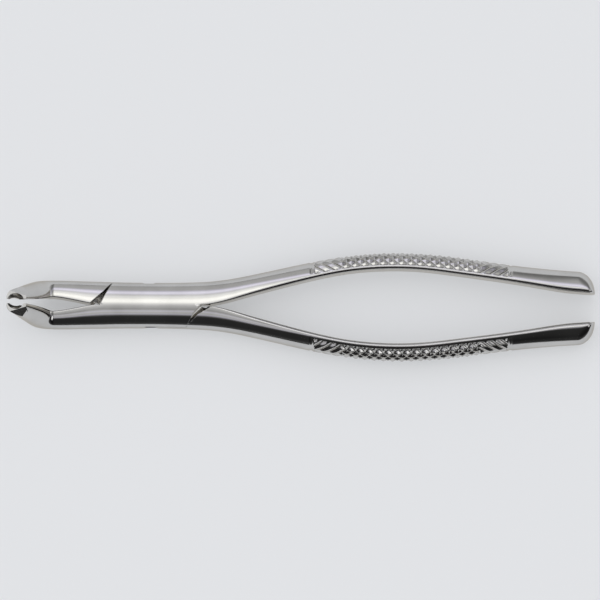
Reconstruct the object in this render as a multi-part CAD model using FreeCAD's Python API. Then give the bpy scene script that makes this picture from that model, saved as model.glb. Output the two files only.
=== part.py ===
"""American-pattern extraction forceps with a screwless box-lock joint.

Three forged steel pieces: the box half (lower beak, slotted joint box, upper handle), the
tongue half (upper beak, tongue through the box, lower handle) and the flush joint pin.
Millimetres. X runs from the beaks to the handle ends, Y is the direction in which the
handles open, Z is the pin axis and the beaks turn up along it. The model is built around
the pin and then shifted so that its origin lies at the bottom centre of its bounding box.
"""

import FreeCAD, Part
import math
import os
from FreeCAD import Vector

# Overall lengths from the pin.
HANDLE_REACH = 133.3
BEAK_REACH = 42.74

# Sections are almost half ellipses with their flat side inward.
SECTION_POINTS = 15

# Pin, tongue and slot.
PIN_RADIUS = 2.0
PIN_CLEARANCE = 0.05
TONGUE_HALF_THICKNESS = 1.72
SLOT_HALF_THICKNESS = 1.80
TONGUE_HALF_WIDTH = 5.38
SLOT_HALF_WIDTH = 5.50
TONGUE_ANGLE = -21.8
CLOSING_STOP_ANGLE = -20.0
OPENING_STOP_ANGLE = -46.8

# Edges of the joint in plan, as X and Y from the pin.
FRONT_CHEEK = ((-15.3, -0.25), (-11.0, 7.1), (-9.6, 9.9))
FRONT_SHOULDER = ((-18.1, 0.35), (-14.15, 4.1), (-11.05, 7.1), (-8.7, 9.4))
REAR_CHEEK = ((15.3, 0.25), (12.9, -2.4), (10.7, -7.2), (9.4, -10.0))
REAR_SHOULDER = ((18.2, -0.55), (14.3, -2.9), (12.0, -5.8), (10.9, -7.4), (9.9, -9.0))
PLAN_MARGIN = 12.0
SLOT_REACH = 19.0

# The spine runs straight from the handles through the joint and turns up at the beaks.
BEND_START = 28.5
BEND_RADIUS = 5.6
BEAK_RISE = 61.0
BEAK_TIP_Z = 14.6

# One long arm, from beak to handle: distance from the pin along the spine, positive toward
# the tips, then inner side, outer side, half height, radius of the inner corners and power of
# the outer curve. The flat inner side dips just past the middle plane through the joint, where
# the arm is trimmed.
ARM_STATIONS = (
    (51.0, 0.62, 3.15, 2.30, 0.25, 2.25),
    (49.2, 0.62, 3.53, 2.45, 0.25, 2.25),
    (47.2, 0.62, 3.92, 2.60, 0.25, 2.25),
    (43.4, 0.80, 4.90, 3.02, 0.28, 2.25),
    (39.6, 1.15, 5.85, 3.50, 0.30, 2.25),
    (36.2, 1.62, 6.62, 3.90, 0.32, 2.25),
    (34.1, 1.92, 6.98, 4.08, 0.34, 2.25),
    (31.6, 2.06, 7.22, 4.20, 0.35, 2.25),
    (28.5, 2.04, 7.31, 4.30, 0.35, 2.25),
    (25.5, 1.66, 7.31, 4.41, 0.35, 2.25),
    (21.5, 0.92, 7.20, 4.56, 0.32, 2.25),
    (17.5, 0.20, 7.10, 4.66, 0.24, 2.25),
    (14.0, -0.20, 7.02, 4.72, 0.20, 2.25),
    (10.0, -0.25, 6.93, 4.75, 0.20, 2.25),
    (5.0, -0.25, 6.87, 4.75, 0.20, 2.25),
    (0.0, -0.25, 6.85, 4.75, 0.20, 2.25),
    (-5.0, -0.25, 6.87, 4.75, 0.20, 2.25),
    (-10.0, -0.25, 6.95, 4.75, 0.20, 2.25),
    (-14.0, -0.20, 7.08, 4.76, 0.20, 2.24),
    (-17.5, 0.16, 7.28, 4.78, 0.24, 2.22),
    (-21.0, 0.76, 7.66, 4.81, 0.38, 2.18),
    (-24.5, 1.60, 8.20, 4.85, 0.56, 2.13),
    (-29.5, 3.00, 9.18, 4.90, 0.78, 2.07),
    (-35.4, 4.60, 10.48, 4.95, 0.95, 2.02),
    (-46.8, 7.55, 13.00, 5.00, 1.08, 2.00),
    (-58.2, 9.95, 15.09, 5.00, 1.10, 2.00),
    (-69.9, 11.05, 16.25, 5.00, 1.10, 2.00),
    (-81.3, 10.85, 16.11, 5.00, 1.10, 2.00),
    (-92.7, 9.55, 15.05, 5.00, 1.10, 2.00),
    (-104.1, 8.05, 13.37, 5.00, 1.15, 2.00),
    (-115.8, 6.25, 12.00, 5.00, 1.28, 2.00),
    (-124.8, 4.85, 11.25, 5.00, 1.42, 2.00),
    (-133.3, 4.25, 10.75, 5.00, 1.48, 2.00),
)

# Beak tips: gouged hollow, scooped inner edge and ground bevel.
GOUGE_TIP_RADIUS = 2.1
GOUGE_ROOT_RADIUS = 1.0
GOUGE_LENGTH = 11.0
GOUGE_OFFSET = -0.25
GOUGE_OVERRUN = 1.2
SCOOP_RADIUS = 2.6
SCOOP_OFFSET = -1.4
SCOOP_SHIFT = 0.3
BEVEL_REACH = 2.55
BEVEL_NORMAL = (0.20, 0.66, 0.72)
BEVEL_BLOCK = 20.0

# The outer corner of the handle's end is a quarter of an ellipse.
HANDLE_END_ROUND_LENGTH = 5.0
HANDLE_END_WIDTH = 0.3
HANDLE_END_POINTS = 9

UP = Vector(0, 0, 1)
SIDEWAYS = Vector(0, 1, 0)
TALL = 60.0


def section_curve(place, inner, outer, half_height, power):
    """The outer side of a D section, from above its flat side to below it."""
    points = []
    for i in range(SECTION_POINTS):
        angle = math.pi * (0.5 - i / (SECTION_POINTS - 1))
        reach = max(0.0, math.cos(angle)) ** (2 / power)
        rise = math.copysign(abs(math.sin(angle)) ** (2 / power), math.sin(angle))
        if i in (0, SECTION_POINTS - 1):
            reach = 0.0
        points.append(place(inner + (outer - inner) * reach, half_height * rise))
    curve = Part.BSplineCurve()
    outward = place(1, 0) - place(0, 0)
    curve.interpolate(Points=points, InitialTangent=outward, FinalTangent=outward * -1)
    return curve.toShape()


def spine_place(distance):
    """Puts a section across the spine, which turns up after BEND_START."""
    rise = math.radians(BEAK_RISE)
    turn = min(max((distance - BEND_START) / BEND_RADIUS, 0.0), rise)
    straight = max(distance - BEND_START - BEND_RADIUS * rise, 0.0)
    run = min(distance, BEND_START) + BEND_RADIUS * math.sin(turn)
    centre = Vector(
        -run - straight * math.cos(turn),
        0,
        BEND_RADIUS * (1 - math.cos(turn)) + straight * math.sin(turn),
    )
    upward = Vector(math.sin(turn), 0, math.cos(turn))
    return lambda y, z: centre + SIDEWAYS * y + upward * z


def corner_arc(place, inner, half_height, radius, side):
    """The rounded inner corner of a D section, above its middle for side 1."""
    diagonal = radius * (1 - math.sqrt(0.5))
    points = [
        place(inner + radius, side * half_height),
        place(inner + diagonal, side * (half_height - diagonal)),
        place(inner, side * (half_height - radius)),
    ]
    return Part.Arc(*points[::-side]).toShape()


def d_wire(place, inner, outer, half_height, corner, power):
    """A closed D section with its flat side inward."""
    flat_end = half_height - corner
    return Part.Wire([
        section_curve(place, inner + corner, outer, half_height, power),
        corner_arc(place, inner, half_height, corner, -1),
        Part.makeLine(place(inner, -flat_end), place(inner, flat_end)),
        corner_arc(place, inner, half_height, corner, 1),
    ])


def tip_centre():
    """Where the spine reaches the height of the tips, with its direction there."""
    rise = math.radians(BEAK_RISE)
    arc_top = spine_place(BEND_START + BEND_RADIUS * rise)(0, 0)
    along = Vector(-math.cos(rise), 0, math.sin(rise))
    return arc_top + along * ((BEAK_TIP_Z - arc_top.z) / along.z), along


def tip_tools():
    """What the grinding takes off the tip: its top, its hollow, its scoop and its bevel."""
    tip, along = tip_centre()
    above = Part.makeBox(TALL, TALL, TALL, Vector(tip.x - TALL / 2, -TALL / 2, tip.z))
    root = tip - along * GOUGE_LENGTH + SIDEWAYS * GOUGE_OFFSET
    reach = GOUGE_LENGTH * GOUGE_OVERRUN
    top_radius = GOUGE_ROOT_RADIUS + (GOUGE_TIP_RADIUS - GOUGE_ROOT_RADIUS) * GOUGE_OVERRUN
    gouge = Part.makeCone(GOUGE_ROOT_RADIUS, top_radius, reach, root, along)
    scoop_axis = Vector(tip.x - SCOOP_SHIFT, SCOOP_OFFSET, 0)
    scoop = Part.makeCylinder(SCOOP_RADIUS, TALL, scoop_axis, UP)
    normal = Vector(*BEVEL_NORMAL)
    block = Part.makeBox(BEVEL_BLOCK, BEVEL_BLOCK, BEVEL_BLOCK)
    block.translate(Vector(-BEVEL_BLOCK / 2, -BEVEL_BLOCK / 2, 0))
    turn = FreeCAD.Placement(tip + SIDEWAYS * BEVEL_REACH, FreeCAD.Rotation(UP, normal))
    bevel = block.transformGeometry(turn.toMatrix())
    return [above, gouge, scoop, bevel]


def handle_end_tool():
    """What lies outside the rounded outer corner of the handle's end."""
    end_inner, end_outer = ARM_STATIONS[-1][1:3]
    depth = end_outer - end_inner - HANDLE_END_WIDTH
    start_x = HANDLE_REACH - HANDLE_END_ROUND_LENGTH
    points = []
    for i in range(HANDLE_END_POINTS):
        turn = math.pi / 2 * i / (HANDLE_END_POINTS - 1)
        x = start_x + HANDLE_END_ROUND_LENGTH * math.sin(turn)
        points.append(Vector(x, end_outer + depth * (math.cos(turn) - 1), -TALL / 2))
    round_edge = Part.BSplineCurve()
    round_edge.interpolate(
        Points=points, InitialTangent=Vector(1, 0, 0), FinalTangent=Vector(0, -1, 0)
    )
    corners = [
        points[-1],
        Vector(HANDLE_REACH + TALL, points[-1].y, -TALL / 2),
        Vector(HANDLE_REACH + TALL, TALL, -TALL / 2),
        Vector(start_x, TALL, -TALL / 2),
        points[0],
    ]
    sides = [Part.makeLine(a, b) for a, b in zip(corners, corners[1:])]
    outline = Part.Wire([round_edge.toShape()] + sides)
    return Part.Face(outline).extrude(UP * TALL)


def arm_solid():
    """The +Y arm: beak, half of the joint's outer shape, and handle, in one smooth loft."""
    wires = [d_wire(spine_place(distance), *sizes) for distance, *sizes in ARM_STATIONS]
    loft = Part.makeLoft(wires, True, False)
    length = 2 * HANDLE_REACH
    arm = loft.cut(Part.makeBox(2 * length, TALL, TALL, Vector(-length, -TALL, -TALL / 2)))
    for tool in [handle_end_tool()] + tip_tools():
        arm = arm.cut(tool)
    return arm


def prism(points, low, high):
    """A vertical prism over a polygon in plan."""
    corners = [Vector(x, y, low) for x, y in points]
    return Part.Face(Part.makePolygon(corners + corners[:1])).extrude(UP * (high - low))


def mirrored(shape):
    """The same shape on the other side of the joint axis."""
    return shape.mirror(Vector(0, 0, 0), SIDEWAYS)


def line_points(angle, distance, reach):
    """Two points of the line that passes at a distance below the pin, at an angle in plan."""
    turn = math.radians(angle)
    foot = (distance * math.sin(turn), -distance * math.cos(turn))
    along = (math.cos(turn) * reach, math.sin(turn) * reach)
    return (foot[0] - along[0], foot[1] - along[1]), (foot[0] + along[0], foot[1] + along[1])


def slot_wall(side):
    """The solid side wall of the box that stops the tongue, below the pin for side 1."""
    closing, _ = line_points(CLOSING_STOP_ANGLE, SLOT_HALF_WIDTH, 30)
    _, opening = line_points(OPENING_STOP_ANGLE, SLOT_HALF_WIDTH, 30)
    middle_angle = math.radians((CLOSING_STOP_ANGLE + OPENING_STOP_ANGLE) / 2)
    half_turn = math.radians((CLOSING_STOP_ANGLE - OPENING_STOP_ANGLE) / 2)
    apex_distance = SLOT_HALF_WIDTH / math.cos(half_turn)
    apex = (apex_distance * math.sin(middle_angle), -apex_distance * math.cos(middle_angle))
    far = (apex[0] - 40, apex[1] - 40)
    points = [(side * x, side * y) for x, y in (closing, apex, opening, far)]
    return prism(points, -TALL / 2, TALL / 2)


def slot_solid():
    """The space that the tongue turns in, between the two side walls of the box."""
    slab = Part.makeBox(
        2 * SLOT_REACH, 2 * PLAN_MARGIN, 2 * SLOT_HALF_THICKNESS,
        Vector(-SLOT_REACH, -PLAN_MARGIN, -SLOT_HALF_THICKNESS),
    )
    return slab.cut(slot_wall(1)).cut(slot_wall(-1))


def tongue_tool():
    """The band of the tongue, which crosses the joint from front left to rear right."""
    lower = line_points(TONGUE_ANGLE, TONGUE_HALF_WIDTH, 17)
    upper = line_points(TONGUE_ANGLE, -TONGUE_HALF_WIDTH, 17)
    points = (lower[0], lower[1], upper[1], upper[0])
    return prism(points, -TONGUE_HALF_THICKNESS, TONGUE_HALF_THICKNESS)


def pin_cylinder(radius):
    """A cylinder on the pin axis, taller than the joint."""
    return Part.makeCylinder(radius, TALL, Vector(0, 0, -TALL / 2), UP)


def box_half(envelope):
    """Lower beak, slotted box and upper handle as one forging."""
    front_limit = (FRONT_CHEEK[-1][0], PLAN_MARGIN)
    front = FRONT_CHEEK + (front_limit, (-TALL, PLAN_MARGIN), (-TALL, FRONT_CHEEK[0][1]))
    rear_limit = (REAR_CHEEK[-1][0], -2 * PLAN_MARGIN)
    far_x = HANDLE_REACH + PLAN_MARGIN
    rear = REAR_CHEEK + (rear_limit, (far_x, -2 * PLAN_MARGIN), (far_x, REAR_CHEEK[0][1]))
    open_sides = [prism(front, -TALL, TALL), prism(rear, -TALL, TALL)]
    return envelope.cut(open_sides).cut([slot_solid(), pin_cylinder(PIN_RADIUS)])


def tongue_half(envelope):
    """Upper beak, tongue and lower handle as one forging."""
    front_limit = (FRONT_SHOULDER[-1][0], PLAN_MARGIN)
    front = FRONT_SHOULDER + (front_limit, (-TALL, PLAN_MARGIN), (-TALL, FRONT_SHOULDER[0][1]))
    rear_limit = (REAR_SHOULDER[-1][0], -2 * PLAN_MARGIN)
    far_x = HANDLE_REACH + PLAN_MARGIN
    rear = REAR_SHOULDER + (rear_limit, (far_x, -2 * PLAN_MARGIN), (far_x, REAR_SHOULDER[0][1]))
    kept = prism(front, -TALL, TALL).fuse([prism(rear, -TALL, TALL), tongue_tool()])
    return envelope.common(kept).cut(pin_cylinder(PIN_RADIUS + PIN_CLEARANCE))


def framed(shape):
    """The shape in the part's own frame."""
    lowest = max(station[3] for station in ARM_STATIONS)
    return shape.removeSplitter().translated(Vector((BEAK_REACH - HANDLE_REACH) / 2, 0, lowest))


def main():
    os.makedirs("parts", exist_ok=True)
    arm = arm_solid()
    envelope = arm.fuse(mirrored(arm)).removeSplitter()
    nodes = {
        "box_half": box_half(envelope),
        "tongue_half": tongue_half(envelope),
        "joint_pin": envelope.common(pin_cylinder(PIN_RADIUS)),
    }
    for name, shape in nodes.items():
        solid = framed(shape)
        solid.exportStep(f"parts/{name}.step")
        print(name, solid.isValid(), len(solid.Solids), round(solid.Volume, 1))


main()
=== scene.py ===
"""Extraction forceps: polished steel meshes with cut knurls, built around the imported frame."""

import math

import bmesh
import bpy
import numpy as np
from mathutils import Matrix, Vector
from mathutils.bvhtree import BVHTree


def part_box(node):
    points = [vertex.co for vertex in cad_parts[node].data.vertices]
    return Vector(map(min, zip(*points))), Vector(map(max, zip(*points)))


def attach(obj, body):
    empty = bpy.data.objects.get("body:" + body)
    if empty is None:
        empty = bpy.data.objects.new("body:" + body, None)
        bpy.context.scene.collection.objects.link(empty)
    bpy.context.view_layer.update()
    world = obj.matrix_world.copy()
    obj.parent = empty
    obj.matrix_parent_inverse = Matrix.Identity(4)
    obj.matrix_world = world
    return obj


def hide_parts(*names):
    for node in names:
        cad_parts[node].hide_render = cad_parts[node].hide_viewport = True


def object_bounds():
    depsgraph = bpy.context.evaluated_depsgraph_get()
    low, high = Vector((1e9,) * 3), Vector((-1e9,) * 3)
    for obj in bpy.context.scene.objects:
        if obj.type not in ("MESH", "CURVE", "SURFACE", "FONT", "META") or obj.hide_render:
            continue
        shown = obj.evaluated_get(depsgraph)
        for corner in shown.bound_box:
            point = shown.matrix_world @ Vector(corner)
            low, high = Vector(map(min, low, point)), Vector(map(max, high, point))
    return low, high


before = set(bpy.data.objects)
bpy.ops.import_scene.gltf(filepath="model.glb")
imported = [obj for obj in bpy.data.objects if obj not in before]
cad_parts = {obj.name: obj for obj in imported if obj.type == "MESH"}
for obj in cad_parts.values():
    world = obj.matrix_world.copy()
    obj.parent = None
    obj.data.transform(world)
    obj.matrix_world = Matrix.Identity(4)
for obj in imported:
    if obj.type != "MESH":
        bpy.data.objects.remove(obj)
cad_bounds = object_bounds()

MM = 0.001
TALL = 60.0
pin_low, pin_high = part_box("joint_pin")
PIN = (pin_low + pin_high) / 2

# The spine runs straight from the handles through the joint and turns up at the beaks.
BEND_START = 28.5
BEND_RADIUS = 5.6
BEAK_RISE = math.radians(61.0)
TIP_HEIGHT = 14.6
HANDLE_REACH = 133.3

# Distance from the pin along the spine, inner side, outer side, half height, radius of the
# inner corners, in mm, and power of the outer curve.
ARM_STATIONS = np.array([
    (51.0, 0.62, 3.15, 2.30, 0.25, 2.25),
    (49.2, 0.62, 3.53, 2.45, 0.25, 2.25),
    (47.2, 0.62, 3.92, 2.60, 0.25, 2.25),
    (43.4, 0.80, 4.90, 3.02, 0.28, 2.25),
    (39.6, 1.15, 5.85, 3.50, 0.30, 2.25),
    (36.2, 1.62, 6.62, 3.90, 0.32, 2.25),
    (34.1, 1.92, 6.98, 4.08, 0.34, 2.25),
    (31.6, 2.06, 7.22, 4.20, 0.35, 2.25),
    (28.5, 2.04, 7.31, 4.30, 0.35, 2.25),
    (25.5, 1.66, 7.31, 4.41, 0.35, 2.25),
    (21.5, 0.92, 7.20, 4.56, 0.32, 2.25),
    (17.5, 0.20, 7.10, 4.66, 0.24, 2.25),
    (14.0, -0.20, 7.02, 4.72, 0.20, 2.25),
    (10.0, -0.25, 6.93, 4.75, 0.20, 2.25),
    (5.0, -0.25, 6.87, 4.75, 0.20, 2.25),
    (0.0, -0.25, 6.85, 4.75, 0.20, 2.25),
    (-5.0, -0.25, 6.87, 4.75, 0.20, 2.25),
    (-10.0, -0.25, 6.95, 4.75, 0.20, 2.25),
    (-14.0, -0.20, 7.08, 4.76, 0.20, 2.24),
    (-17.5, 0.16, 7.28, 4.78, 0.24, 2.22),
    (-21.0, 0.76, 7.66, 4.81, 0.38, 2.18),
    (-24.5, 1.60, 8.20, 4.85, 0.56, 2.13),
    (-29.5, 3.00, 9.18, 4.90, 0.78, 2.07),
    (-35.4, 4.60, 10.48, 4.95, 0.95, 2.02),
    (-46.8, 7.55, 13.00, 5.00, 1.08, 2.00),
    (-58.2, 9.95, 15.09, 5.00, 1.10, 2.00),
    (-69.9, 11.05, 16.25, 5.00, 1.10, 2.00),
    (-81.3, 10.85, 16.11, 5.00, 1.10, 2.00),
    (-92.7, 9.55, 15.05, 5.00, 1.10, 2.00),
    (-104.1, 8.05, 13.37, 5.00, 1.15, 2.00),
    (-115.8, 6.25, 12.00, 5.00, 1.28, 2.00),
    (-124.8, 4.85, 11.25, 5.00, 1.42, 2.00),
    (-133.3, 4.25, 10.75, 5.00, 1.48, 2.00),
])

BEAK_END = ARM_STATIONS[0, 0]

# Edges of the joint in plan, as X and Y from the pin.
FRONT_CHEEK = ((-15.3, -0.25), (-11.0, 7.1), (-9.6, 9.9))
FRONT_SHOULDER = ((-18.1, 0.35), (-14.15, 4.1), (-11.05, 7.1), (-8.7, 9.4))
REAR_CHEEK = ((15.3, 0.25), (12.9, -2.4), (10.7, -7.2), (9.4, -10.0))
REAR_SHOULDER = ((18.2, -0.55), (14.3, -2.9), (12.0, -5.8), (10.9, -7.4), (9.9, -9.0))
PIN_RADIUS = 2.0
PIN_HALF = 4.4
BORE_RADIUS = 2.05
TONGUE_HALF_THICKNESS = 1.72
SLOT_HALF_THICKNESS = 1.80
TONGUE_HALF_WIDTH = 5.38
SLOT_HALF_WIDTH = 5.50
TONGUE_ANGLE = math.radians(-21.8)
CLOSING_STOP_ANGLE = math.radians(-20.0)
OPENING_STOP_ANGLE = math.radians(-46.8)

TONGUE_REACH = 15.75
MARGIN = 12.0
FAR = 45.0

# Chamfer on the front edge of the cheek, and the sloping shoulders of the tongue half.
CHEEK_CHAMFER_LOW = 4.35
CHEEK_CHAMFER_HIGH = 4.9
CHEEK_CHAMFER_STEPS = ((0.35, -0.05), (0.15, 0.0), (0.15, 0.0))
SHOULDER_FOOT_STEPS = ((2.55, -0.5), (1.0, -0.3), (0.0, 0.0), (0.0, 0.0))
REAR_FOOT_STEPS = ((-2.35, 0.4), (-1.15, 0.2), (-1.0, 0.2), (-0.6, 0.1), (-0.2, 0.0))
SHOULDER_EDGE_HEIGHT = 4.6

# Tips: hollow gouge and ground bevel.
GOUGE_TIP_RADIUS = 2.1
GOUGE_ROOT_RADIUS = 1.0
GOUGE_LENGTH = 11.0
GOUGE_OFFSET = -0.25
SCOOP_RADIUS = 2.6
SCOOP_OFFSET = -1.4
SCOOP_SHIFT = 0.3
BEVEL_REACH = 2.55
BEVEL_BLOCK = 20.0
BEVEL_NORMAL = Vector((0.20, 0.66, 0.72)).normalized()

# Sections of the mesh: segments round the outer curve, each corner and the flat side.
OUTER_SEGMENTS = 96
CORNER_SEGMENTS = 4
FLAT_SEGMENTS = 8

# Rows of the mesh: where the handles join on, and the spacing in mm of each stretch.
HANDLE_START = -26.0
BEAK_STEP = 0.4
BEND_STEP = 0.2
JOINT_STEP = 0.5
HANDLE_STEP = 0.6
KNURL_STEP = 0.14
END_ROWS = 28
REFERENCE_END_ROWS = 25

# Rounded ends of the handles.
END_ROUND_LENGTH = 5.0
END_ROUND_SHARE = 0.95
END_DOME_LENGTH = 2.2
END_DOME_SHARE = 0.6

# The faces of the handles slope to their outer sides, fully so past the end of the run.
HANDLE_TAPER = 0.26
TAPER_RUN = (24.0, 62.0)

# Knurl: where it lies along the handle, what its grooves measure, how wide a smooth strip
# each handle keeps beside it, and how the grooves fade out at its edges.
KNURL_START = 49.0
KNURL_END = 107.4
KNURL_PITCH = 2.8
KNURL_DEPTH = 0.58
KNURL_FLAT = 0.12
KNURL_STRIPS = {1: 0.1, -1: 0.75}
KNURL_FADE = 0.5
RUN_OUT = 7.5
RUN_OUT_FADE = 1.5

# Ring grooves at both ends of the knurl.
RING_WIDTH = 1.3
RING_DEPTH = 0.22
RING_FADE = (0.2, 1.2)

# Which corners take the smooth surface's normals: how near and how parallel they have to be.
SHARP_ANGLE = math.radians(32)
SAME_SURFACE = 0.02
SAME_DIRECTION = 0.85


def spline(at, stations, values):
    """Natural cubic interpolation through the stations."""
    order = np.argsort(stations)
    x, y = stations[order], values[order]
    gap = np.diff(x)
    n = len(x)
    matrix, right = np.eye(n), np.zeros(n)
    for i in range(1, n - 1):
        matrix[i, i - 1:i + 2] = gap[i - 1], 2 * (gap[i - 1] + gap[i]), gap[i]
        right[i] = 6 * ((y[i + 1] - y[i]) / gap[i] - (y[i] - y[i - 1]) / gap[i - 1])
    bend = np.linalg.solve(matrix, right)
    i = np.clip(np.searchsorted(x, at) - 1, 0, n - 2)
    a, b, h = x[i + 1] - at, at - x[i], gap[i]
    cubic = (bend[i] * a ** 3 + bend[i + 1] * b ** 3) / (6 * h)
    return cubic + (y[i] / h - bend[i] * h / 6) * a + (y[i + 1] / h - bend[i + 1] * h / 6) * b


def arm_sizes(s):
    """Inner side, outer side, half height, corner radius, power and taper of the arm at s."""
    inner, outer, height, corner, power = (
        spline(s, ARM_STATIONS[:, 0], ARM_STATIONS[:, column]) for column in (1, 2, 3, 4, 5)
    )
    curve_start = np.maximum(inner + corner, 0.0)
    inner = np.maximum(inner, 0.0)
    into_end = np.clip((-s - HANDLE_REACH + END_ROUND_LENGTH) / END_ROUND_LENGTH, 0, 1)
    fall = 1 - np.sqrt(1 - (0.998 * into_end) ** 2)
    corner = (curve_start - inner) * (1 - 0.9 * fall)
    outer = outer - fall * END_ROUND_SHARE * (outer - inner)
    into_dome = np.clip((-s - HANDLE_REACH + END_DOME_LENGTH) / END_DOME_LENGTH, 0, 1)
    height = height * (1 - END_DOME_SHARE * (1 - np.sqrt(1 - (0.998 * into_dome) ** 2)))
    taper = HANDLE_TAPER * ramp(-s, *TAPER_RUN)
    return inner, outer, height, corner, power, taper


def spine(s):
    """Spine centres and section up directions, in mm from the pin, at distances s."""
    turn = np.clip((s - BEND_START) / BEND_RADIUS, 0, BEAK_RISE)
    straight = np.maximum(s - BEND_START - BEND_RADIUS * BEAK_RISE, 0)
    x = -np.minimum(s, BEND_START) - BEND_RADIUS * np.sin(turn) - straight * np.cos(turn)
    z = BEND_RADIUS * (1 - np.cos(turn)) + straight * np.sin(turn)
    zero = np.zeros_like(s)
    return np.stack([x, zero, z], -1), np.stack([np.sin(turn), zero, np.cos(turn)], -1)


def section_points(*sizes):
    """Y, Z and outward normal of every point round the sections, one row for each station."""
    inner, outer, height, corner, power, taper = (size[:, None] for size in sizes)
    angle = np.linspace(np.pi / 2, -np.pi / 2, OUTER_SEGMENTS + 1)[None, :]
    cosine = np.clip(np.cos(angle), 0, 1)
    cosine[:, [0, -1]] = 0
    sine = np.sin(angle)
    width = outer - inner - corner
    reach = cosine ** (2 / power)
    rise = np.sign(sine) * np.abs(sine) ** (2 / power)
    left = 1 - taper * reach
    ny = (reach ** (power - 1) + np.abs(rise) ** power * taper / left) / width
    nz = np.sign(rise) * np.abs(rise) ** (power - 1) / (height * left)
    curve = (inner + corner + width * reach, height * rise * left, ny, nz)
    turn = np.linspace(0, np.pi / 2, CORNER_SEGMENTS + 1)[None, 1:]
    sine, cosine = np.sin(turn), np.cos(turn)
    low_y, low_z = inner + corner * (1 - sine), -height + corner * (1 - cosine)
    low = (low_y, low_z, -sine + 0 * inner, -cosine + 0 * inner)
    share = np.linspace(-1, 1, FLAT_SEGMENTS + 1)[None, 1:]
    flat_z = share * (height - corner)
    flat = (inner + 0 * flat_z, flat_z, -1 + 0 * flat_z, 0 * flat_z)
    turn = turn[:, :-1]
    sine, cosine = np.sin(turn), np.cos(turn)
    top_y, top_z = inner + corner * (1 - cosine), height - corner * (1 - sine)
    top = (top_y, top_z, -cosine + 0 * inner, sine + 0 * inner)
    y, z, ny, nz = (np.concatenate(parts, 1) for parts in zip(curve, low, flat, top))
    length = np.hypot(ny, nz)
    return y, z, ny / length, nz / length


def arm_grid(s, side):
    """Points and smooth normals of one arm, one row for each distance s, in metres."""
    y, z, ny, nz = section_points(*arm_sizes(s))
    centre, up = spine(s)
    points = centre[:, None] + up[:, None] * z[..., None]
    points[..., 1] = y
    around = up[:, None] * -ny[..., None]
    around[..., 1] = nz
    along = np.gradient(points, s, axis=0)
    normal = np.cross(around, along)
    outward = up[:, None] * nz[..., None]
    outward[..., 1] = ny
    normal *= np.sign((normal * outward).sum(-1, keepdims=True))
    normal /= np.linalg.norm(normal, axis=-1, keepdims=True)
    points[..., 1] *= side
    normal[..., 1] *= side
    return points * MM + np.array(PIN), normal


def grid_faces(rows, columns, side, first=0, skip=None):
    """Quads of a tube of rows, turned the right way round for its side."""
    faces = []
    for r in range(rows - 1):
        for c in range(columns):
            if skip is not None and skip(r, c):
                continue
            d = (c + 1) % columns
            a, b = first + r * columns, first + (r + 1) * columns
            quad = (a + c, b + c, b + d, a + d)
            faces.append(quad if side < 0 else quad[::-1])
    return faces


def new_object(name, vertices, faces):
    """A mesh object with its repeated points merged and its degenerate edges dissolved."""
    mesh = bpy.data.meshes.new(name)
    mesh.from_pydata([tuple(v) for v in vertices], [], faces)
    bm = bmesh.new()
    bm.from_mesh(mesh)
    bmesh.ops.remove_doubles(bm, verts=bm.verts, dist=1e-7)
    bmesh.ops.dissolve_degenerate(bm, edges=bm.edges, dist=1e-8)
    bm.to_mesh(mesh)
    bm.free()
    piece = bpy.data.objects.new(name, mesh)
    bpy.context.scene.collection.objects.link(piece)
    return piece


def envelope_rows():
    """Distances of the rows of the beaks and joint, closer together in the bend."""
    bend_end = BEND_START + BEND_RADIUS * BEAK_RISE
    parts = [
        np.arange(BEAK_END, bend_end, -BEAK_STEP),
        np.arange(bend_end, BEND_START, -BEND_STEP),
        np.arange(BEND_START, HANDLE_START, -JOINT_STEP),
        [HANDLE_START],
    ]
    return np.concatenate(parts)


def hidden_inside(sizes):
    """Says which faces of the inner side fall on the plane where the two arms merge."""
    inner, corner = sizes[0], sizes[3]
    merged, flat_merged = inner + corner <= 0, inner <= 0
    flat_start = OUTER_SEGMENTS + CORNER_SEGMENTS
    flat_end = flat_start + FLAT_SEGMENTS

    def hidden(r, c):
        if c < OUTER_SEGMENTS:
            return False
        if merged[r] and merged[r + 1]:
            return True
        return flat_merged[r] and flat_merged[r + 1] and flat_start <= c < flat_end

    return hidden


def envelope():
    """Both beaks and the outer shape of the joint, closed, with nothing cut into them."""
    s = envelope_rows()
    hidden = hidden_inside(arm_sizes(s))
    vertices, faces = [], []
    for side in (1, -1):
        points, _ = arm_grid(s, side)
        rows, columns = points.shape[:2]
        first = len(vertices)
        faces += grid_faces(rows, columns, side, first, hidden)
        start = tuple(range(first, first + columns))
        end = tuple(range(first + (rows - 1) * columns, first + rows * columns))
        faces += [start if side < 0 else start[::-1], end[::-1] if side < 0 else end]
        vertices += list(points.reshape(-1, 3))
    return new_object("envelope", vertices, faces)


def place(x, y, z):
    """A point in the row frame, from millimetres from the pin."""
    return PIN + Vector((x, y, z)) * MM


def prisms(parts):
    """One cutter of closed columns, each given as its plan outlines and their heights."""
    vertices, faces = [], []
    for outlines, heights in parts:
        plan = outlines[0]
        area = sum(a[0] * b[1] - b[0] * a[1] for a, b in zip(plan, plan[1:] + plan[:1]))
        n, first = len(plan), len(vertices)
        for outline, z in zip(outlines, heights):
            vertices += [place(x, y, z) for x, y in (outline if area > 0 else outline[::-1])]
        faces.append(tuple(first + i for i in reversed(range(n))))
        faces.append(tuple(first + n * (len(heights) - 1) + i for i in range(n)))
        for ring in range(len(heights) - 1):
            low = first + ring * n
            for i in range(n):
                j = (i + 1) % n
                faces.append((low + i, low + j, low + n + j))
                faces.append((low + i, low + n + j, low + n + i))
    return new_object("cutter", vertices, faces)


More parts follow.
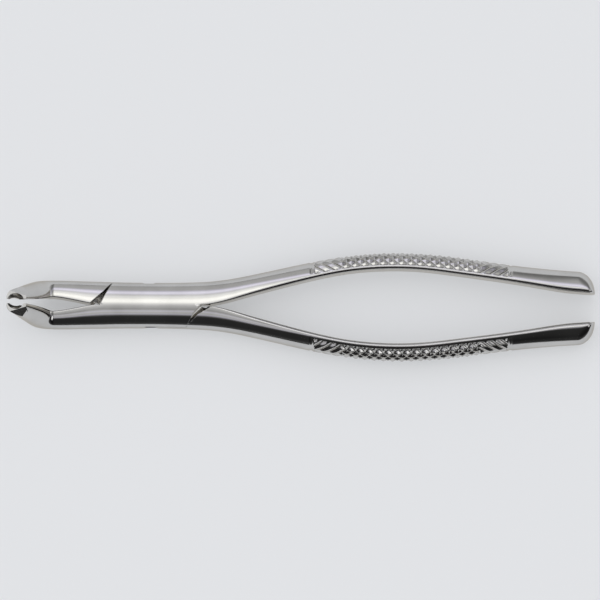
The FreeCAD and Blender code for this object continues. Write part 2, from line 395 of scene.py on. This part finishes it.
def cone(low, high, low_radius, high_radius, segments=96):
    """A cutter cone between two points, radii in mm."""
    axis = high - low
    bm = bmesh.new()
    bmesh.ops.create_cone(
        bm, cap_ends=True, segments=segments, radius1=low_radius * MM,
        radius2=high_radius * MM, depth=axis.length,
    )
    turn = axis.to_track_quat("Z", "Y").to_matrix().to_4x4()
    bmesh.ops.transform(bm, matrix=Matrix.Translation((low + high) / 2) @ turn, verts=bm.verts)
    mesh = bpy.data.meshes.new("cone")
    bm.to_mesh(mesh)
    bm.free()
    piece = bpy.data.objects.new("cone", mesh)
    bpy.context.scene.collection.objects.link(piece)
    return piece


def half_space(point, normal, size=TALL):
    """A cutter box of a size in mm that lies beyond a plane."""
    bm = bmesh.new()
    bmesh.ops.create_cube(bm, size=size * MM)
    lift = Matrix.Translation((0, 0, size * MM / 2))
    turn = normal.to_track_quat("Z", "Y").to_matrix().to_4x4()
    bmesh.ops.transform(bm, matrix=Matrix.Translation(point) @ turn @ lift, verts=bm.verts)
    mesh = bpy.data.meshes.new("half_space")
    bm.to_mesh(mesh)
    bm.free()
    piece = bpy.data.objects.new("half_space", mesh)
    bpy.context.scene.collection.objects.link(piece)
    return piece


def carve(piece, cutter, operation="DIFFERENCE"):
    """Cuts one mesh with another and removes the cutter."""
    cut = piece.modifiers.new("cut", "BOOLEAN")
    cut.operation = operation
    cut.object = cutter
    cut.solver = "EXACT"
    graph = bpy.context.evaluated_depsgraph_get()
    mesh = bpy.data.meshes.new_from_object(piece.evaluated_get(graph))
    piece.modifiers.clear()
    piece.data = mesh
    bpy.data.objects.remove(cutter)


def scoop_plan(x):
    """Plan of the lens-shaped space that is scooped out between the tips."""
    widest = math.acos(-SCOOP_OFFSET / SCOOP_RADIUS)
    turns = np.linspace(-widest, widest, 49)[:-1]
    half = [(SCOOP_RADIUS * math.sin(t), SCOOP_OFFSET + SCOOP_RADIUS * math.cos(t)) for t in turns]
    return [(x + dx, dy) for dx, dy in half] + [(x - dx, -dy) for dx, dy in half]


def grind_tips(piece):
    """Levels the tips, gouges their hollows, scoops between them and grinds their bevels."""
    arc_top, _ = spine(np.array([BEND_START + BEND_RADIUS * BEAK_RISE]))
    along = Vector((-math.cos(BEAK_RISE), 0, math.sin(BEAK_RISE)))
    start = Vector(arc_top[0])
    tip = start + along * ((TIP_HEIGHT - start.z) / along.z)
    carve(piece, half_space(place(*tip), Vector((0, 0, 1))))
    carve(piece, prisms([column(scoop_plan(tip.x - SCOOP_SHIFT), 0, TALL)]))
    overrun = 1.2
    top_radius = GOUGE_ROOT_RADIUS + (GOUGE_TIP_RADIUS - GOUGE_ROOT_RADIUS) * overrun
    for side in (1, -1):
        root = tip - along * GOUGE_LENGTH + Vector((0, side * GOUGE_OFFSET, 0))
        top = root + along * GOUGE_LENGTH * overrun
        carve(piece, cone(place(*root), place(*top), GOUGE_ROOT_RADIUS, top_radius))
        normal = Vector((BEVEL_NORMAL.x, side * BEVEL_NORMAL.y, BEVEL_NORMAL.z))
        carve(piece, half_space(place(tip.x, side * BEVEL_REACH, tip.z), normal, BEVEL_BLOCK))


def line_points(angle, distance, reach):
    """Two points of the plan line that passes at a distance below the pin."""
    foot = Vector((math.sin(angle), -math.cos(angle))) * distance
    along = Vector((math.cos(angle), math.sin(angle))) * reach
    return tuple(foot - along), tuple(foot + along)


def slot_plan():
    """Plan of the space that the tongue turns in, between the two side walls."""
    closing, _ = line_points(CLOSING_STOP_ANGLE, SLOT_HALF_WIDTH, 30)
    _, opening = line_points(OPENING_STOP_ANGLE, SLOT_HALF_WIDTH, 30)
    middle = (CLOSING_STOP_ANGLE + OPENING_STOP_ANGLE) / 2
    apex_distance = SLOT_HALF_WIDTH / math.cos((CLOSING_STOP_ANGLE - OPENING_STOP_ANGLE) / 2)
    apex = (apex_distance * math.sin(middle), -apex_distance * math.cos(middle))
    below = [closing, apex, opening]
    return below + [(-x, -y) for x, y in below]


def column(plan, low, high):
    """A straight column for prisms."""
    return (list(plan), list(plan)), (low, high)


def moved(points, steps):
    """The points of a plan line, each moved by its own step in X and Y."""
    return [(x + dx, y + dy) for (x, y), (dx, dy) in zip(points, steps)]


def chamfered(line, opened, close, flare_low, flare_high):
    """A tall column whose edge line opens out near the top and the bottom."""
    narrow, wide = list(line) + close, list(opened) + close
    outlines = (wide, wide, narrow, narrow, wide, wide)
    return outlines, (-TALL, -flare_high, -flare_low, flare_low, flare_high, TALL)


def cut_box(piece):
    """Leaves the lower beak and the slotted box of the box half."""
    front_close = [(FRONT_CHEEK[-1][0], MARGIN), (-TALL, MARGIN), (-TALL, FRONT_CHEEK[0][1])]
    rear_close = [(REAR_CHEEK[-1][0], -MARGIN), (FAR, -MARGIN), (FAR, REAR_CHEEK[0][1])]
    front_open = moved(FRONT_CHEEK, CHEEK_CHAMFER_STEPS)
    carve(piece, prisms([
        chamfered(FRONT_CHEEK, front_open, front_close, CHEEK_CHAMFER_LOW, CHEEK_CHAMFER_HIGH),
        column(list(REAR_CHEEK) + rear_close, -TALL, TALL),
    ]))
    carve(piece, prisms([column(slot_plan(), -SLOT_HALF_THICKNESS, SLOT_HALF_THICKNESS)]))
    carve(piece, cone(place(0, 0, -PIN_HALF), place(0, 0, PIN_HALF), PIN_RADIUS, PIN_RADIUS))


def cut_tongue(piece):
    """Leaves the upper beak and the tongue of the tongue half."""
    lower, leave = line_points(TONGUE_ANGLE, TONGUE_HALF_WIDTH, TONGUE_REACH)
    below = [(-TALL, FRONT_SHOULDER[0][1]), FRONT_SHOULDER[0], lower, leave]
    below += [(leave[0], -MARGIN), (-TALL, -MARGIN)]
    above = [(FAR, REAR_SHOULDER[0][1]), REAR_SHOULDER[0], (-lower[0], -lower[1])]
    above += [(-leave[0], -leave[1]), (-leave[0], MARGIN), (FAR, MARGIN)]
    rest = [(FRONT_SHOULDER[-1][0], MARGIN), (FAR, MARGIN), (FAR, REAR_SHOULDER[0][1])]
    close = [(REAR_SHOULDER[-1][0], -MARGIN), (-TALL, -MARGIN), (-TALL, FRONT_SHOULDER[0][1])]
    edge = list(FRONT_SHOULDER) + rest + list(REAR_SHOULDER) + close
    foot = moved(FRONT_SHOULDER, SHOULDER_FOOT_STEPS) + rest
    foot += moved(REAR_SHOULDER, REAR_FOOT_STEPS) + close
    half, slot = TONGUE_HALF_THICKNESS, 2 * SLOT_HALF_THICKNESS
    carve(piece, prisms([
        ((foot, edge, edge), (half, SHOULDER_EDGE_HEIGHT, TALL)),
        ((edge, edge, foot), (-TALL, -SHOULDER_EDGE_HEIGHT, -half)),
    ]))
    carve(piece, prisms([column(below, -slot, slot)]))
    carve(piece, prisms([column(above, -slot, slot)]))
    carve(piece, cone(place(0, 0, -TALL), place(0, 0, TALL), BORE_RADIUS, BORE_RADIUS))


def handle_rows():
    """Distances of the rows of a handle, close together in the knurl and at the end."""
    knurl_low, knurl_high = KNURL_START - 2 * RING_WIDTH, KNURL_END + 2 * RING_WIDTH
    round_start = HANDLE_REACH - END_ROUND_LENGTH
    end = round_start + END_ROUND_LENGTH * np.sin(np.linspace(0, np.pi / 2, END_ROWS))
    parts = [
        np.arange(-HANDLE_START, knurl_low, HANDLE_STEP),
        np.arange(knurl_low, knurl_high, KNURL_STEP),
        np.arange(knurl_high, round_start, HANDLE_STEP),
        end,
    ]
    return -np.concatenate(parts)


def ramp(value, low, high):
    """Smooth step from 0 at low to 1 at high."""
    t = np.clip((value - low) / (high - low), 0, 1)
    return t * t * (3 - 2 * t)


def ridge(phase):
    """Height from 0 in V grooves, which lie where the phase is whole, to 1 between them."""
    rise = 2 * np.abs(phase - np.round(phase))
    return np.minimum(rise / (1 - KNURL_FLAT), 1)


def knurl_depth(x, way, total, strip):
    """How deep the knurl lies under the handle's surface, in mm, past a smooth strip."""
    one_end, other_start = KNURL_END - RUN_OUT, KNURL_START + RUN_OUT
    one_cut = ramp(x, KNURL_START, KNURL_START + KNURL_FADE)
    one_cut = one_cut * (1 - ramp(x, one_end - RUN_OUT_FADE, one_end))
    other_cut = ramp(x, other_start, other_start + RUN_OUT_FADE)
    other_cut = other_cut * (1 - ramp(x, KNURL_END - KNURL_FADE, KNURL_END))
    one = 1 - one_cut * (1 - ridge((x + way) / KNURL_PITCH))
    other = 1 - other_cut * (1 - ridge((x - way) / KNURL_PITCH))
    low, high = strip, total - strip
    inset = ramp(way, low, low + KNURL_FADE) * (1 - ramp(way, high - KNURL_FADE, high))
    return KNURL_DEPTH * (1 - np.minimum(one, other)) * inset


def handle(side):
    """One handle as an open tube with a closed end and a cut knurl."""
    s = handle_rows()
    points, normals = arm_grid(s, side)
    rows, columns = points.shape[:2]
    steps = np.linalg.norm(np.diff(points[:, :OUTER_SEGMENTS + 1], axis=1), axis=-1) / MM
    way = np.concatenate([np.zeros((rows, 1)), np.cumsum(steps, 1)], 1)
    x = np.repeat(-s[:, None], OUTER_SEGMENTS + 1, 1)
    depth = knurl_depth(x, way, way[:, -1:], KNURL_STRIPS[side])
    for middle in (KNURL_START - RING_WIDTH / 2, KNURL_END + RING_WIDTH / 2):
        ring = np.clip(1 - (2 * (x - middle) / RING_WIDTH) ** 2, 0, 1)
        shape = ramp(way, *RING_FADE) * ramp(way[:, -1:] - way, *RING_FADE)
        depth = np.maximum(depth, RING_DEPTH * ring * shape)
    outer = slice(0, OUTER_SEGMENTS + 1)
    points[:, outer] -= normals[:, outer] * depth[..., None] * MM
    faces = grid_faces(rows, columns, side)
    end = tuple(range((rows - 1) * columns, rows * columns))
    faces.append(end[::-1] if side < 0 else end)
    return list(points.reshape(-1, 3)), faces


def reference_surface():
    """The smooth surface of both whole arms, as a search tree with its corner normals."""
    round_start = HANDLE_REACH - END_ROUND_LENGTH
    handle_steps = -np.arange(-HANDLE_START + JOINT_STEP, round_start, JOINT_STEP)
    end_steps = -np.linspace(round_start, HANDLE_REACH, REFERENCE_END_ROWS)
    s = np.concatenate([envelope_rows(), handle_steps, end_steps])
    hidden = hidden_inside(arm_sizes(s))
    vertices, normals, triangles = [], [], []
    for side in (1, -1):
        points, normal = arm_grid(s, side)
        rows, columns = points.shape[:2]
        for a, b, c, d in grid_faces(rows, columns, side, len(vertices), hidden):
            triangles += [(a, b, c), (a, c, d)]
        vertices += list(points.reshape(-1, 3))
        normals += list(normal.reshape(-1, 3))
    tree = BVHTree.FromPolygons([tuple(v) for v in vertices], triangles)
    return tree, np.array(vertices), np.array(normals), np.array(triangles)


def smooth_normals(points, reference):
    """The smooth surface's normal at the spot nearest each point, and how far off it is."""
    tree, vertices, normals, triangles = reference
    hits = [tree.find_nearest(p) for p in points]
    spot = np.array([h[0] for h in hits])
    corners = triangles[np.array([h[2] for h in hits])]
    a, b, c = (vertices[corners[:, k]] for k in range(3))
    whole = np.cross(b - a, c - a)
    area = np.maximum((whole ** 2).sum(-1), 1e-30)
    wa = (np.cross(b - spot, c - spot) * whole).sum(-1) / area
    wb = (np.cross(c - spot, a - spot) * whole).sum(-1) / area
    weights = np.stack([wa, wb, 1 - wa - wb], -1)
    smooth = (normals[corners] * weights[..., None]).sum(1)
    smooth /= np.maximum(np.linalg.norm(smooth, axis=-1, keepdims=True), 1e-9)
    return smooth, np.array([h[3] for h in hits])


def polish(piece, reference):
    """Gives the smooth surface its exact normals, and leaves cut faces their own."""
    mesh = piece.data
    mesh.shade_smooth()
    mesh.set_sharp_from_angle(angle=SHARP_ANGLE)
    points = np.empty(len(mesh.vertices) * 3)
    mesh.vertices.foreach_get("co", points)
    smooth, distance = smooth_normals(points.reshape(-1, 3), reference)
    corner = np.empty(len(mesh.loops), np.int32)
    mesh.loops.foreach_get("vertex_index", corner)
    face_normals = np.empty(len(mesh.polygons) * 3)
    mesh.polygons.foreach_get("normal", face_normals)
    totals = np.empty(len(mesh.polygons), np.int32)
    mesh.polygons.foreach_get("loop_total", totals)
    face_normals = np.repeat(face_normals.reshape(-1, 3), totals, 0)
    agrees = (face_normals * smooth[corner]).sum(-1) > SAME_DIRECTION
    near = distance[corner] < SAME_SURFACE * MM
    custom = np.where((agrees & near)[:, None], smooth[corner], 0.0)
    mesh.normals_split_custom_set(custom.tolist())


def join_handle(piece, side):
    """Takes the cap off the joint end and merges the handle onto it."""
    bm = bmesh.new()
    bm.from_mesh(piece.data)
    cap_x = PIN.x - HANDLE_START * MM
    caps = [f for f in bm.faces if all(abs(v.co.x - cap_x) < 1e-7 for v in f.verts)]
    bmesh.ops.delete(bm, geom=caps, context="FACES_ONLY")
    vertices, faces = handle(side)
    made = [bm.verts.new(v) for v in vertices]
    for face in faces:
        bm.faces.new([made[i] for i in face])
    bmesh.ops.remove_doubles(bm, verts=bm.verts, dist=2e-7)
    loose = [v for v in bm.verts if not v.link_faces]
    bmesh.ops.delete(bm, geom=loose, context="VERTS")
    bmesh.ops.recalc_face_normals(bm, faces=bm.faces)
    bm.to_mesh(piece.data)
    bm.free()


def copy_of(piece, name):
    """A second object with its own copy of the mesh."""
    twin = bpy.data.objects.new(name, piece.data.copy())
    bpy.context.scene.collection.objects.link(twin)
    return twin


def node(nodes, kind, **values):
    """Adds a shader node and sets its plain inputs by name."""
    made = nodes.new(kind)
    for name, value in values.items():
        if name in made.inputs:
            made.inputs[name].default_value = value
        else:
            setattr(made, name, value)
    return made


# Steel: its two colours, its tint at grazing angles, its roughness and its softened edges.
STEEL_DARK = (0.555, 0.55, 0.54, 1)
STEEL_LIGHT = (0.62, 0.615, 0.605, 1)
STEEL_EDGE_TINT = (0.76, 0.72, 0.655, 1)
STEEL_ROUGHNESS = (0.055, 0.11)
SOFT_EDGE_RADIUS = 0.18


def polished_steel(name):
    """Mirror-polished stainless steel with faint lengthwise polishing lines and softened edges."""
    material = bpy.data.materials.new(name)
    material.use_nodes = True
    tree = material.node_tree
    nodes, link = tree.nodes, tree.links.new
    shader = nodes["Principled BSDF"]
    shader.inputs["Metallic"].default_value = 1.0
    shader.inputs["Specular Tint"].default_value = STEEL_EDGE_TINT
    place_in = nodes.new("ShaderNodeTexCoord")
    stretch = nodes.new("ShaderNodeMapping")
    stretch.inputs["Scale"].default_value = (0.06, 1.0, 1.0)
    link(place_in.outputs["Object"], stretch.inputs["Vector"])
    lines = node(nodes, "ShaderNodeTexNoise", Scale=2600.0, Detail=4.0, Roughness=0.6)
    link(stretch.outputs["Vector"], lines.inputs["Vector"])
    clouds = node(nodes, "ShaderNodeTexNoise", Scale=120.0, Detail=3.0, Roughness=0.55)
    link(place_in.outputs["Object"], clouds.inputs["Vector"])
    rough = node(nodes, "ShaderNodeMapRange")
    rough.inputs["From Min"].default_value = 0.3
    rough.inputs["From Max"].default_value = 0.7
    rough.inputs["To Min"].default_value, rough.inputs["To Max"].default_value = STEEL_ROUGHNESS
    link(clouds.outputs["Fac"], rough.inputs["Value"])
    link(rough.outputs["Result"], shader.inputs["Roughness"])
    tint = nodes.new("ShaderNodeValToRGB")
    tint.color_ramp.elements[0].position = 0.35
    tint.color_ramp.elements[0].color = STEEL_DARK
    tint.color_ramp.elements[1].position = 0.65
    tint.color_ramp.elements[1].color = STEEL_LIGHT
    link(clouds.outputs["Fac"], tint.inputs["Fac"])
    link(tint.outputs["Color"], shader.inputs["Base Color"])
    soft_edge = node(nodes, "ShaderNodeBevel", samples=4)
    soft_edge.inputs["Radius"].default_value = SOFT_EDGE_RADIUS * MM
    bump = node(nodes, "ShaderNodeBump", Strength=0.05, Distance=0.02 * MM)
    link(lines.outputs["Fac"], bump.inputs["Height"])
    link(soft_edge.outputs["Normal"], bump.inputs["Normal"])
    link(bump.outputs["Normal"], shader.inputs["Normal"])
    return material


# The table glows a little, as in a light tent, so that shadows on it stay faint.
TABLE_REACH = 4.0
TABLE_COLOR = (0.44, 0.445, 0.455, 1)
TABLE_GLOW_COLOR = (0.97, 0.985, 1.0, 1)
TABLE_GLOW = 0.36


def table_top():
    """The pale floor under the part."""
    signs = ((-1, -1), (1, -1), (1, 1), (-1, 1))
    corners = [(x * TABLE_REACH, y * TABLE_REACH, 0) for x, y in signs]
    mesh = bpy.data.meshes.new("table")
    mesh.from_pydata(corners, [], [(0, 1, 2, 3)])
    floor = bpy.data.objects.new("table", mesh)
    bpy.context.scene.collection.objects.link(floor)
    material = bpy.data.materials.new("table")
    material.use_nodes = True
    shader = material.node_tree.nodes["Principled BSDF"]
    shader.inputs["Base Color"].default_value = TABLE_COLOR
    shader.inputs["Emission Color"].default_value = TABLE_GLOW_COLOR
    shader.inputs["Emission Strength"].default_value = TABLE_GLOW
    shader.inputs["Roughness"].default_value = 0.75
    shader.inputs["Specular IOR Level"].default_value = 0.1
    mesh.materials.append(material)


# The camera looks down along the pin, a few degrees from the side of the lower handle.
CAMERA_DISTANCE = 3.0
CAMERA_TILT = math.radians(4.5)
CAMERA_ROLL = math.radians(0.37)
FRAME_WIDTH_SHARE = 1.0226
FRAME_SHIFT = (-0.37, 2.0, 0.0)
EVEN_LIGHT = 0.98

# The room over the table: angle from straight up, positive towards +Y, its brightness and tint.
ROOM = (
    (-90, 0.12, "plain"), (-80, 0.07, "plain"), (-70, 0.03, "plain"), (-37, 0.03, "plain"),
    (-32, 0.045, "plain"), (-28, 0.18, "plain"), (-23.5, 0.69, "cool"), (-19.5, 0.57, "plain"),
    (-15.5, 0.67, "plain"), (-12.5, 0.80, "cool"), (-9, 0.58, "plain"), (-6, 0.40, "plain"),
    (-3.5, 0.53, "plain"), (-0.5, 0.60, "plain"), (2, 0.68, "plain"), (3.5, 0.80, "plain"),
    (5, 0.98, "plain"), (7, 1.34, "warm"), (9.5, 1.68, "warm"), (14.5, 1.65, "warm"),
    (17.5, 1.53, "warm"), (20.5, 1.24, "warm"), (24.5, 1.24, "plain"), (28.5, 1.02, "plain"),
    (32.5, 0.87, "plain"), (36.5, 1.05, "cool"), (40.5, 1.27, "cool"), (45.5, 1.19, "cool"),
    (51.5, 0.78, "cool"), (57.5, 0.57, "plain"), (90, 0.52, "plain"),
)
TINTS = {"plain": (1.0, 1.0, 1.0), "cool": (0.95, 0.93, 1.06), "warm": (1.0, 0.995, 0.96)}

# How much of it is seen towards the beaks (negative) and the handle ends.
LENGTHWISE = (
    (-90, 0.75), (-40, 1.0), (10, 1.0), (22, 0.55), (38, 0.40), (62, 0.40), (75, 0.9), (90, 1.0),
)
WINDOW_DIRECTION = (0.60, -0.42, 0.68)
WINDOW_EDGES = (0.968, 0.985)
WINDOW_BRIGHTNESS = 1.3


def angle_ramp(nodes, link, parts, across, stops):
    """Colour by the direction's angle from straight up, in degrees, towards one axis."""
    angle = node(nodes, "ShaderNodeMath", operation="ARCTAN2")
    link(parts.outputs[across], angle.inputs[0])
    link(parts.outputs["Z"], angle.inputs[1])
    share = nodes.new("ShaderNodeMapRange")
    share.inputs["From Min"].default_value = -math.pi / 2
    share.inputs["From Max"].default_value = math.pi / 2
    link(angle.outputs[0], share.inputs["Value"])
    made = nodes.new("ShaderNodeValToRGB")
    elements = made.color_ramp.elements
    for i, (degrees, color) in enumerate(stops):
        position = (degrees + 90) / 180
        stop = elements[i] if i < 2 else elements.new(position)
        stop.position = position
        stop.color = (*color, 1)
    link(share.outputs["Result"], made.inputs["Fac"])
    return made.outputs["Color"]


def room_light():
    """Soft studio surroundings: what the steel mirrors, and the even light on the table."""
    world = bpy.data.worlds.new("studio")
    bpy.context.scene.world = world
    world.use_nodes = True
    nodes, link = world.node_tree.nodes, world.node_tree.links.new
    direction = nodes.new("ShaderNodeTexCoord")
    parts = nodes.new("ShaderNodeSeparateXYZ")
    link(direction.outputs["Generated"], parts.inputs["Vector"])
    brightest = max(level for _, level, _ in ROOM)
    across = [
        (degrees, [level / brightest * tint for tint in TINTS[name]])
        for degrees, level, name in ROOM
    ]
    along = [(degrees, [level] * 3) for degrees, level in LENGTHWISE]
    walls = node(nodes, "ShaderNodeMix", data_type="RGBA", blend_type="MULTIPLY")
    walls.inputs["Factor"].default_value = 1.0
    link(angle_ramp(nodes, link, parts, "Y", across), walls.inputs["A"])
    link(angle_ramp(nodes, link, parts, "X", along), walls.inputs["B"])

    towards = node(nodes, "ShaderNodeVectorMath", operation="DOT_PRODUCT")
    link(direction.outputs["Generated"], towards.inputs[0])
    towards.inputs[1].default_value = Vector(WINDOW_DIRECTION).normalized()
    pane = nodes.new("ShaderNodeMapRange")
    pane.inputs["From Min"].default_value, pane.inputs["From Max"].default_value = WINDOW_EDGES
    pane.inputs["To Max"].default_value = WINDOW_BRIGHTNESS / brightest
    link(towards.outputs["Value"], pane.inputs["Value"])
    room = node(nodes, "ShaderNodeMix", data_type="RGBA", blend_type="ADD")
    room.inputs["Factor"].default_value = 1.0
    link(walls.outputs["Result"], room.inputs["A"])
    link(pane.outputs["Result"], room.inputs["B"])

    mirrored = nodes["Background"]
    mirrored.inputs["Strength"].default_value = brightest
    link(room.outputs["Result"], mirrored.inputs["Color"])
    even = nodes.new("ShaderNodeBackground")
    even.inputs["Strength"].default_value = EVEN_LIGHT
    sides = [(-90, (0.90, 0.91, 0.93)), (90, (1.0, 1.01, 1.03))]
    link(angle_ramp(nodes, link, parts, "Y", sides), even.inputs["Color"])
    rays = nodes.new("ShaderNodeLightPath")
    spread = nodes.new("ShaderNodeMath")
    spread.operation = "MAXIMUM"
    link(rays.outputs["Is Camera Ray"], spread.inputs[0])
    link(rays.outputs["Is Diffuse Ray"], spread.inputs[1])
    choose = nodes.new("ShaderNodeMixShader")
    link(spread.outputs[0], choose.inputs[0])
    link(mirrored.outputs[0], choose.inputs[1])
    link(even.outputs[0], choose.inputs[2])
    link(choose.outputs[0], nodes["World Output"].inputs["Surface"])


def camera():
    """Looks down along the pin, turned so that the handles fall slightly."""
    low, high = (Vector(v) for v in cad_bounds)
    width = (high.x - low.x) * FRAME_WIDTH_SHARE
    aim = Vector(((low.x + high.x) / 2, 0, PIN.z)) + Vector(FRAME_SHIFT) * MM
    distance, tilt, roll = CAMERA_DISTANCE, CAMERA_TILT, CAMERA_ROLL
    data = bpy.data.cameras.new("camera")
    data.sensor_width = 36
    data.lens = 36 * distance / width
    eye = bpy.data.objects.new("camera", data)
    eye.location = aim + Vector((0, -math.sin(tilt), math.cos(tilt))) * distance
    eye.rotation_euler = (Matrix.Rotation(tilt, 3, "X") @ Matrix.Rotation(roll, 3, "Z")).to_euler()
    bpy.context.scene.collection.objects.link(eye)
    bpy.context.scene.camera = eye


base = envelope()
grind_tips(base)
surface = reference_surface()

box_half = copy_of(base, "box_half_steel_body")
cut_box(box_half)
join_handle(box_half, 1)

tongue_half = copy_of(base, "tongue_half_steel_body")
cut_tongue(tongue_half)
join_handle(tongue_half, -1)

joint_pin = base
joint_pin.name = "flush_joint_pin"
pin_space = cone(place(0, 0, -PIN_HALF), place(0, 0, PIN_HALF), PIN_RADIUS, PIN_RADIUS)
carve(joint_pin, pin_space, "INTERSECT")

for piece, node_name, body, slot in (
    (box_half, "box_half", "box_side", "box_half_steel"),
    (tongue_half, "tongue_half", "tongue_side", "tongue_half_steel"),
    (joint_pin, "joint_pin", "box_side", "pin_steel"),
):
    polish(piece, surface)
    piece.data.materials.clear()
    piece.data.materials.append(polished_steel(slot))
    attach(piece, body)
    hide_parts(node_name)

table_top()
room_light()
camera()
bpy.context.scene.view_settings.view_transform = "Standard"
